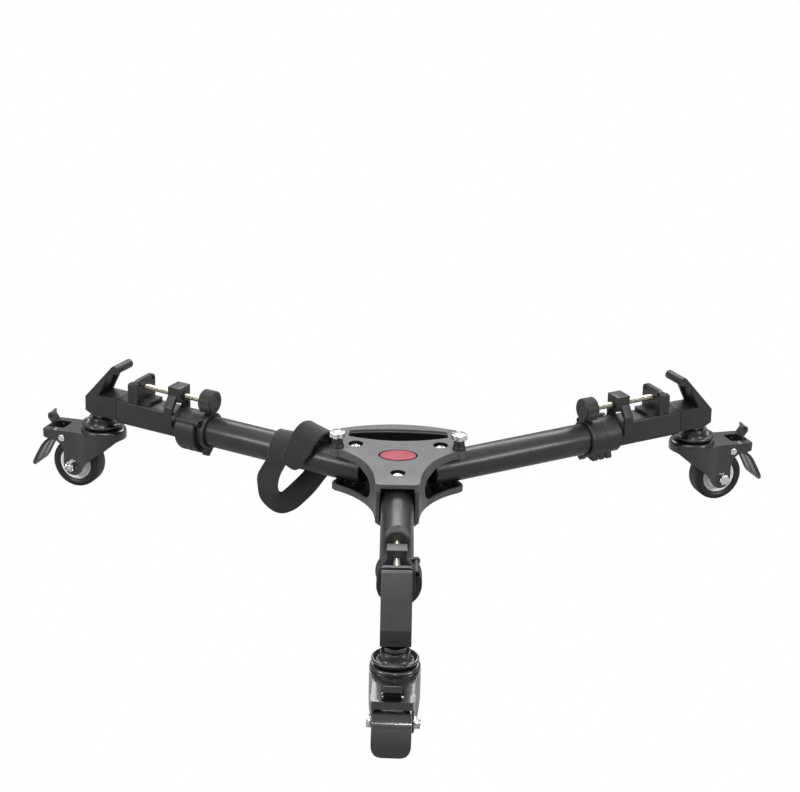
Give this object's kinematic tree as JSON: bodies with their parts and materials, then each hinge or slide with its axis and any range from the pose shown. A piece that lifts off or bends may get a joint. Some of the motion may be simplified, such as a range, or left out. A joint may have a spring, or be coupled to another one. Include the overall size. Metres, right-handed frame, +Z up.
{
  "type": "tripod dolly",
  "caption": "Folding wheeled base that holds the feet of a camera tripod: telescoping legs on a hub, foot clamps, and braked swivel casters.",
  "frame": {"origin": "centre of the object's box, on the floor", "axes": "+Z up, -Y along the front leg, +X to the right seen from the front"},
  "size_m": [0.7318, 0.624, 0.1377],
  "materials": {
    "hub_paint": "satin grey paint on a die casting",
    "dark_cast": "dark satin paint on a die casting",
    "black_gloss": "black gloss powder coat",
    "black_plastic": "black moulded plastic",
    "chrome": "bright plated steel",
    "steel": "plated tube",
    "tyre": "black rubber",
    "pale_disc": "pale moulded wheel centre",
    "webbing": "black woven webbing",
    "red_inlay": "bare red oval"
  },
  "bodies": {
    "hub": {"hub_top": "hub_paint", "hub_base": "hub_paint", "hub_badge": "red_inlay", "pivot_bolt_left": "chrome", "pivot_bolt_right": "chrome", "pivot_bolt_front": "chrome", "lock_sleeve_left": "black_plastic", "lock_sleeve_right": "black_plastic", "leg_tube_front": "black_gloss", "lock_collar_front": "black_plastic"},
    "leg_left": {"leg_tube_left": "black_gloss", "lock_collar_left": "black_plastic", "strap": "webbing"},
    "leg_right": {"leg_tube_right": "black_gloss", "lock_collar_right": "black_plastic"},
    "lock_screw_left": {"lock_screw_left": "chrome"},
    "lock_screw_right": {"lock_screw_right": "chrome"},
    "rail_left": {"inner_tube_left": "steel", "saddle_rail_left": "dark_cast", "end_bracket_left": "dark_cast", "clamp_yoke_left": "dark_cast", "swivel_race_left": "black_gloss"},
    "jaw_left": {"clamp_jaw_left": "dark_cast"},
    "knob_left": {"clamp_screw_left": "chrome", "clamp_knob_left": "black_plastic"},
    "lever_left": {"lock_lever_left": "black_plastic"},
    "fork_left": {"caster_fork_left": "black_gloss", "axle_bolt_left": "chrome"},
    "wheel_left": {"wheel_tyre_left": "tyre", "wheel_hub_left": "pale_disc"},
    "pedal_left": {"brake_pedal_left": "black_gloss"},
    "rail_right": {"inner_tube_right": "steel", "saddle_rail_right": "dark_cast", "end_bracket_right": "dark_cast", "clamp_yoke_right": "dark_cast", "swivel_race_right": "black_gloss"},
    "jaw_right": {"clamp_jaw_right": "dark_cast"},
    "knob_right": {"clamp_screw_right": "chrome", "clamp_knob_right": "black_plastic"},
    "lever_right": {"lock_lever_right": "black_plastic"},
    "fork_right": {"caster_fork_right": "black_gloss", "axle_bolt_right": "chrome"},
    "wheel_right": {"wheel_tyre_right": "tyre", "wheel_hub_right": "pale_disc"},
    "pedal_right": {"brake_pedal_right": "black_gloss"},
    "rail_front": {"inner_tube_front": "steel", "saddle_rail_front": "dark_cast", "end_bracket_front": "dark_cast", "clamp_yoke_front": "dark_cast", "swivel_race_front": "black_gloss"},
    "jaw_front": {"clamp_jaw_front": "dark_cast"},
    "knob_front": {"clamp_screw_front": "chrome", "clamp_knob_front": "black_plastic"},
    "lever_front": {"lock_lever_front": "black_plastic"},
    "fork_front": {"caster_fork_front": "black_gloss", "axle_bolt_front": "chrome"},
    "wheel_front": {"wheel_tyre_front": "tyre", "wheel_hub_front": "pale_disc"},
    "pedal_front": {"brake_pedal_front": "black_gloss"}
  },
  "joints": [
    {"name": "leg_left_fold", "type": "hinge", "parent": "hub", "child": "leg_left", "pos_m": [-0.03966, 0.12349, 0.0893], "axis": [0, 0, 1], "range_deg": [0, 108], "deforming": ["strap"]},
    {"name": "lock_screw_left_turn", "type": "hinge", "parent": "hub", "child": "lock_screw_left", "pos_m": [-0.05667, 0.11483, 0.118], "axis": [0, 0, 1], "range_deg": [0, 720]},
    {"name": "leg_right_fold", "type": "hinge", "parent": "hub", "child": "leg_right", "pos_m": [0.03966, 0.12349, 0.0893], "axis": [0, 0, -1], "range_deg": [0, 108]},
    {"name": "lock_screw_right_turn", "type": "hinge", "parent": "hub", "child": "lock_screw_right", "pos_m": [0.05667, 0.11483, 0.118], "axis": [0, 0, 1], "range_deg": [0, 720]},
    {"name": "rail_left_slide", "type": "slide", "parent": "leg_left", "child": "rail_left", "axis": [-0.866, 0.5, 0], "range_m": [0, 0.09]},
    {"name": "jaw_left_slide", "type": "slide", "parent": "rail_left", "child": "jaw_left", "axis": [-0.866, 0.5, 0], "range_m": [-0.019, 0.018]},
    {"name": "knob_left_spin", "type": "hinge", "parent": "jaw_left", "child": "knob_left", "pos_m": [-0.18143, 0.20534, 0.1192], "axis": [-0.866, 0.5, 0], "range_deg": [-6840, 6480]},
    {"name": "lever_left_flip", "type": "hinge", "parent": "leg_left", "child": "lever_left", "pos_m": [-0.20329, 0.19847, 0.10112], "axis": [-0.866, 0.5, 0], "range_deg": [0, 100]},
    {"name": "fork_left_swivel", "type": "hinge", "parent": "rail_left", "child": "fork_left", "pos_m": [-0.29159, 0.26894, 0.07], "axis": [0, 0, 1], "continuous": true},
    {"name": "wheel_left_roll", "type": "hinge", "parent": "fork_left", "child": "wheel_left", "pos_m": [-0.31598, 0.27929, 0.025], "axis": [-0.3907, -0.9205, 0], "continuous": true},
    {"name": "pedal_left_press", "type": "hinge", "parent": "fork_left", "child": "pedal_left", "pos_m": [-0.32565, 0.2834, 0.0528], "axis": [-0.3907, -0.9205, 0], "range_deg": [0, 12]},
    {"name": "rail_right_slide", "type": "slide", "parent": "leg_right", "child": "rail_right", "axis": [0.866, 0.5, 0], "range_m": [0, 0.09]},
    {"name": "jaw_right_slide", "type": "slide", "parent": "rail_right", "child": "jaw_right", "axis": [0.866, 0.5, 0], "range_m": [-0.019, 0.018]},
    {"name": "knob_right_spin", "type": "hinge", "parent": "jaw_right", "child": "knob_right", "pos_m": [0.18143, 0.20534, 0.1192], "axis": [0.866, 0.5, 0], "range_deg": [-6840, 6480]},
    {"name": "lever_right_flip", "type": "hinge", "parent": "leg_right", "child": "lever_right", "pos_m": [0.18642, 0.2277, 0.10112], "axis": [0.866, 0.5, 0], "range_deg": [0, 100]},
    {"name": "fork_right_swivel", "type": "hinge", "parent": "rail_right", "child": "fork_right", "pos_m": [0.29159, 0.26894, 0.07], "axis": [0, 0, 1], "continuous": true},
    {"name": "wheel_right_roll", "type": "hinge", "parent": "fork_right", "child": "wheel_right", "pos_m": [0.31598, 0.27929, 0.025], "axis": [-0.3907, 0.9205, 0], "continuous": true},
    {"name": "pedal_right_press", "type": "hinge", "parent": "fork_right", "child": "pedal_right", "pos_m": [0.32565, 0.2834, 0.0528], "axis": [-0.3907, 0.9205, 0], "range_deg": [0, 12]},
    {"name": "rail_front_slide", "type": "slide", "parent": "hub", "child": "rail_front", "axis": [0, -1, 0], "range_m": [0, 0.09]},
    {"name": "jaw_front_slide", "type": "slide", "parent": "rail_front", "child": "jaw_front", "axis": [0, -1, 0], "range_m": [-0.019, 0.018]},
    {"name": "knob_front_spin", "type": "hinge", "parent": "jaw_front", "child": "knob_front", "pos_m": [0, -0.10891, 0.1192], "axis": [0, -1, 0], "range_deg": [-6840, 6480]},
    {"name": "lever_front_flip", "type": "hinge", "parent": "hub", "child": "lever_front", "pos_m": [0.01688, -0.12441, 0.10112], "axis": [0, -1, 0], "range_deg": [0, 100]},
    {"name": "fork_front_swivel", "type": "hinge", "parent": "rail_front", "child": "fork_front", "pos_m": [0, -0.23611, 0.07], "axis": [0, 0, 1], "continuous": true},
    {"name": "wheel_front_roll", "type": "hinge", "parent": "fork_front", "child": "wheel_front", "pos_m": [-0.00093, -0.2626, 0.025], "axis": [0.9994, -0.0349, 0], "continuous": true},
    {"name": "pedal_front_press", "type": "hinge", "parent": "fork_front", "child": "pedal_front", "pos_m": [-0.00129, -0.27309, 0.0528], "axis": [0.9994, -0.0349, 0], "range_deg": [0, 12]}
  ],
  "couplings": [
    {"joint": "knob_left_spin", "follows": "jaw_left_slide", "rad_per_m": 6283.2},
    {"joint": "knob_right_spin", "follows": "jaw_right_slide", "rad_per_m": 6283.2},
    {"joint": "knob_front_spin", "follows": "jaw_front_slide", "rad_per_m": 6283.2}
  ]
}
